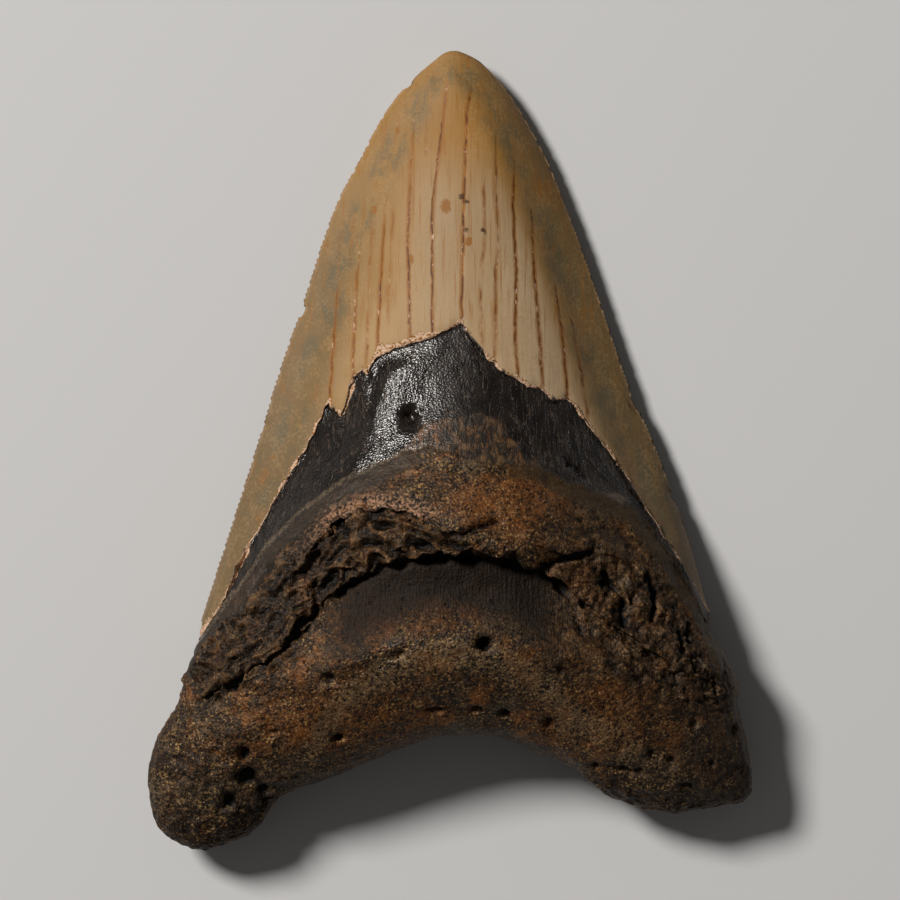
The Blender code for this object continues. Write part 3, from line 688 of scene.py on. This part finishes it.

# Root: dark brown bone with sandy, rusty grains, smooth below the bourlette, black in its hollows with dirt
# and painted shade
ROOT_DARK = (0.0085, 0.0044, 0.0020)
ROOT_BROWN = (0.062, 0.032, 0.011)
ROOT_RUST = (0.175, 0.060, 0.011)
ROOT_BEIGE = (0.125, 0.085, 0.046)
ROOT_GOLD = (0.34, 0.20, 0.075)
ROOT_GREY = (0.024, 0.017, 0.0115)
OLIVE = (0.038, 0.023, 0.009)
PINKISH = (0.36, 0.195, 0.115)
RUBBLE_BROWN = (0.075, 0.042, 0.018)
CREVICE_SHADE_AND_DIRT = (0.0022, 0.0014, 0.0010)
WARM_PLACES = [
    ((7.5, -7.5), (0.10, 0.20, 0), 0.8), ((-6.5, -23.0), (0.08, 0.3, 0), 0.8),
    ((-15.0, -38.0), (0.07, 0.14, 0), 0.5), ((20.0, -38.0), (0.09, 0.16, 0), 0.5),
]

grains = stone.noise(1.3, detail=4, roughness=0.68)
grit = stone.noise(2.8, detail=2, roughness=0.6)
sand_tone = stone.cell_tones(3.6)
bone_colour = stone.mix((grains + (grit - 0.5) * 0.6).ramp(0.41, 0.64), ROOT_DARK, ROOT_BROWN)
rusty_bone = stone.noise(0.22, detail=4, roughness=0.75)
bone_colour = stone.mix((rusty_bone + (grit - 0.5) * 0.4).ramp(0.47, 0.66) * 0.65, bone_colour, ROOT_RUST)
beige_bone = stone.noise(0.30, detail=4, roughness=0.7)
bone_colour = stone.mix((beige_bone + (grit - 0.5) * 0.5).ramp(0.52, 0.68) * 0.5, bone_colour, ROOT_BEIGE)
for spot, stretch, share in WARM_PLACES:
    warm = (stone.from_spot(spot, stretch) + (patchy - 0.5) * 0.9).ramp(1.1, 0.5)
    warm = warm * (grains * 0.7 + grit * 0.5).ramp(0.45, 0.75)
    bone_colour = stone.mix(warm * share, bone_colour, ROOT_RUST)
# Along the ridge crest below the crack: beige bone and painted light where the crest catches the lamp
lit_crest_and_beige = to_crack.ramp(-18, -14.5) * to_crack.ramp(-11, -13) * (grains + (grit - 0.5)).ramp(0.35, 0.60)
bone_colour = stone.mix(lit_crest_and_beige * 0.75, bone_colour, ROOT_BEIGE)
# Black mottles and painted shade: the lobes darken towards the bottom
bone_colour = stone.mix(place_y.ramp(-38, -50) * grains.ramp(0.64, 0.47) * 0.75, bone_colour, ROOT_DARK)
golden = (sand_tone * 0.6 + grit * 0.6 + (patchy - 0.5) * 0.5).ramp(0.78, 0.95)
bone_colour = stone.mix(golden * 0.6, bone_colour, ROOT_GOLD)

# Under the crack: dark smooth bone and painted shade below the overhang of the crack
under_crack = (to_crack + (patchy - 0.5) * 3.0).ramp(-13.0, -5.5) * to_crack.ramp(0.3, -0.3)
under_crack = under_crack * place_x.ramp(-21, -13) * place_x.ramp(21, 13)
bone_colour = stone.mix(place_x.ramp(24, 38) * place_y.ramp(-24, -30) * 0.5, bone_colour, ROOT_GREY)
bone_colour = stone.mix(under_crack * (1.2 - grains).ramp(0.20, 0.60) * 0.95, bone_colour, ROOT_DARK)
beneath_band = (to_band + (patchy - 0.5) * 1.4).ramp(-2.8, -1.9) * stone.measure("upper")
bone_colour = stone.mix(beneath_band * place_x.ramp(-1, -7) * 0.85, bone_colour, ROOT_GREY)
bone_colour = stone.mix(beneath_band * place_x.ramp(4, 12) * 0.85, bone_colour, OLIVE)
# Along the rim of the scar: pinkish bone and a painted highlight where the rim catches the lamp
to_rim = stone.measure("below_rim") + (grains - 0.5) * 1.6
rim_pink_and_highlight = to_rim.ramp(-3.0, -0.3) * to_rim.ramp(0.7, 0.1) * place_x.ramp(-28, -20) * place_x.ramp(1, -5)
rim_pink_and_highlight = rim_pink_and_highlight * (grains + (grit - 0.5) * 0.6).ramp(0.42, 0.62)
bone_colour = stone.mix(rim_pink_and_highlight * 0.7, bone_colour, PINKISH)

# The low parts of the rubble take dirt and painted shade; lit_more paints light over the right of the
# crumbled side
lit_more = place_x.ramp(8, 14) * 0.36 + place_x.ramp(16, 20) * place_y.ramp(-20, -16) * 0.25
raised = (stone.measure("rubble") + (grains - 0.5) * 0.9 + lit_more).ramp(-0.12, 0.65)
rubble_colour = stone.mix(grains.ramp(0.35, 0.60), ROOT_DARK, RUBBLE_BROWN)
rubble_colour = stone.mix((grit + (patchy - 0.5)).ramp(0.50, 0.70) * 0.5, rubble_colour, ROOT_RUST)
rubble_colour = stone.mix((grains + (beige_bone - 0.5)).ramp(0.55, 0.75) * 0.6, rubble_colour, ROOT_BEIGE)
rubble_colour = stone.mix(golden * grains.ramp(0.40, 0.60) * 0.5, rubble_colour, ROOT_GOLD)
rubble_colour = stone.mix(raised, CREVICE_SHADE_AND_DIRT, rubble_colour)
bone_colour = stone.mix(torn_mask * 0.8, bone_colour, rubble_colour)
pores = stone.cells(0.50).ramp(0.15, 0.09) * (patchy - torn_mask * 0.5).ramp(0.42, 0.55)
# Hollows and pores: dirt and painted shade
bone_colour = stone.mix((hollow + (fine - 0.5) * 0.4).ramp(0.35, 1.0) * 0.95, bone_colour, CREVICE_SHADE_AND_DIRT)
bone_colour = stone.mix(pores * 0.9, bone_colour, CREVICE_SHADE_AND_DIRT)

# The three meet along ragged lines, in colour, in shine and in the finest relief
ragged_bone = (to_band + (patchy - 0.5) * 2.2 + (fine - 0.5) * 0.8).ramp(0.35, -0.35)
dark_colour = stone.mix(ragged_bone, bourlette_colour, bone_colour)
stone.feed(stone.surface.inputs["Base Color"], stone.mix(shell_mask, dark_colour, enamel_colour))

stone.surface.inputs["Specular IOR Level"].default_value = 0.30
stone.feed(stone.surface.inputs["Metallic"], ragged_bone * (1 - shell_mask) * 0.32)
enamel_roughness = 0.62 + (fine - 0.5) * 0.2
bourlette_roughness = 0.16 + patchy * 0.08 + place_x.ramp(-6, 2) * 0.14 + hump_mask * 0.10
shine = to_crack.ramp(-15.0, -13.0) * to_crack.ramp(-9.5, -11.5)
shine = shine * place_x.ramp(-22, -17) * place_x.ramp(-3, -8)
bone_roughness = 0.42 + grains * 0.30 + under_crack * 0.12 - shine * 0.24
roughness = bourlette_roughness + (bone_roughness - bourlette_roughness) * ragged_bone
roughness = roughness + (enamel_roughness - roughness) * shell_mask
stone.feed(stone.surface.inputs["Roughness"], roughness)

RELIEF = 0.30
leather = stone.cells(3.3, (0.9, 1.3, 1)) * 0.12 + stone.noise(1.0, (2.4, 1.6, 2.0), detail=1) * 0.14
leather = leather - thread_line * 0.35
enamel_height = stone.noise(1.0, (3.0, 0.12, 1.0), detail=2) * 0.10 + fine * 0.05 + chip * fine * 0.9
lumps = stone.noise(0.9, detail=2, roughness=0.6)
striped = stone.noise(1.0, (3.2, 0.35, 1.0), detail=2) * (under_crack + torn_mask * 0.6)
bone_height = lumps * (1.1 - under_crack * 0.5) + grit * 0.60 * (1 - beneath_band * 0.7)
bone_height = bone_height + striped * 0.5 - pores * 0.8
height = leather * (1 - ragged_bone) + bone_height * ragged_bone
height = height + (enamel_height - height) * shell_mask
stone.feed(stone.surface.inputs["Normal"], stone.bump(height, RELIEF))

mesh.materials.clear()
mesh.materials.append(stone.material)


# The floor: a plain pale sheet of matt paper for the tooth to lie on, cut wide enough that its edge
# never shows.

FLOOR_SIZE = 3.0
PAPER = (0.575, 0.585, 0.595, 1)

bpy.ops.object.select_all(action="DESELECT")
bpy.ops.mesh.primitive_plane_add(size=FLOOR_SIZE, location=(0, 0, 0))
floor = bpy.context.object
floor.name = "floor"
paper = bpy.data.materials.new("paper")
paper.use_nodes = True
sheet = paper.node_tree.nodes["Principled BSDF"]
sheet.inputs["Base Color"].default_value = PAPER
sheet.inputs["Roughness"].default_value = 0.8
floor.data.materials.append(paper)


# The light: one soft box high at the upper left, which rakes over the root, and a dim room around it
# that keeps the shadows open. Both are a little warm.

TOWARDS_LAMP = (-0.58, 0.44, 0.68)
LAMP_DISTANCE = 1.8
LAMP_SIZE = 0.45
LAMP_WATTS = 39.0
LAMP_COLOUR = (1.0, 0.955, 0.905)
ROOM_COLOUR = (1.0, 0.96, 0.92, 1)
ROOM_STRENGTH = 0.09

light = bpy.data.lights.new("key", "AREA")
light.shape = "DISK"
light.size = LAMP_SIZE
light.energy = LAMP_WATTS
light.color = LAMP_COLOUR
lamp = bpy.data.objects.new("key", light)
bpy.context.scene.collection.objects.link(lamp)
lamp.location = Vector(TOWARDS_LAMP).normalized() * LAMP_DISTANCE
lamp.rotation_euler = lamp.location.to_track_quat("Z", "Y").to_euler()
room = bpy.data.worlds.new("room")
room.use_nodes = True
room.node_tree.nodes["Background"].inputs["Color"].default_value = ROOM_COLOUR
room.node_tree.nodes["Background"].inputs["Strength"].default_value = ROOM_STRENGTH
bpy.context.scene.world = room
bpy.context.scene.view_settings.view_transform = "Standard"


# The camera: straight above the tooth with its tip up in the frame, far enough off that the high root
# looks no larger than it is. The lens takes in the frame's width at the height of the outline.

CAMERA_HEIGHT = 0.9
FRAME_WIDTH = 0.12906
FRAMED_AT = 5 * MM

camera = bpy.data.objects.new("camera", bpy.data.cameras.new("camera"))
bpy.context.scene.collection.objects.link(camera)
camera.location = (0, 0, CAMERA_HEIGHT)
camera.data.sensor_width = 36.0
camera.data.lens = camera.data.sensor_width * (CAMERA_HEIGHT - FRAMED_AT) / FRAME_WIDTH
camera.data.clip_end = 10
bpy.context.scene.camera = camera
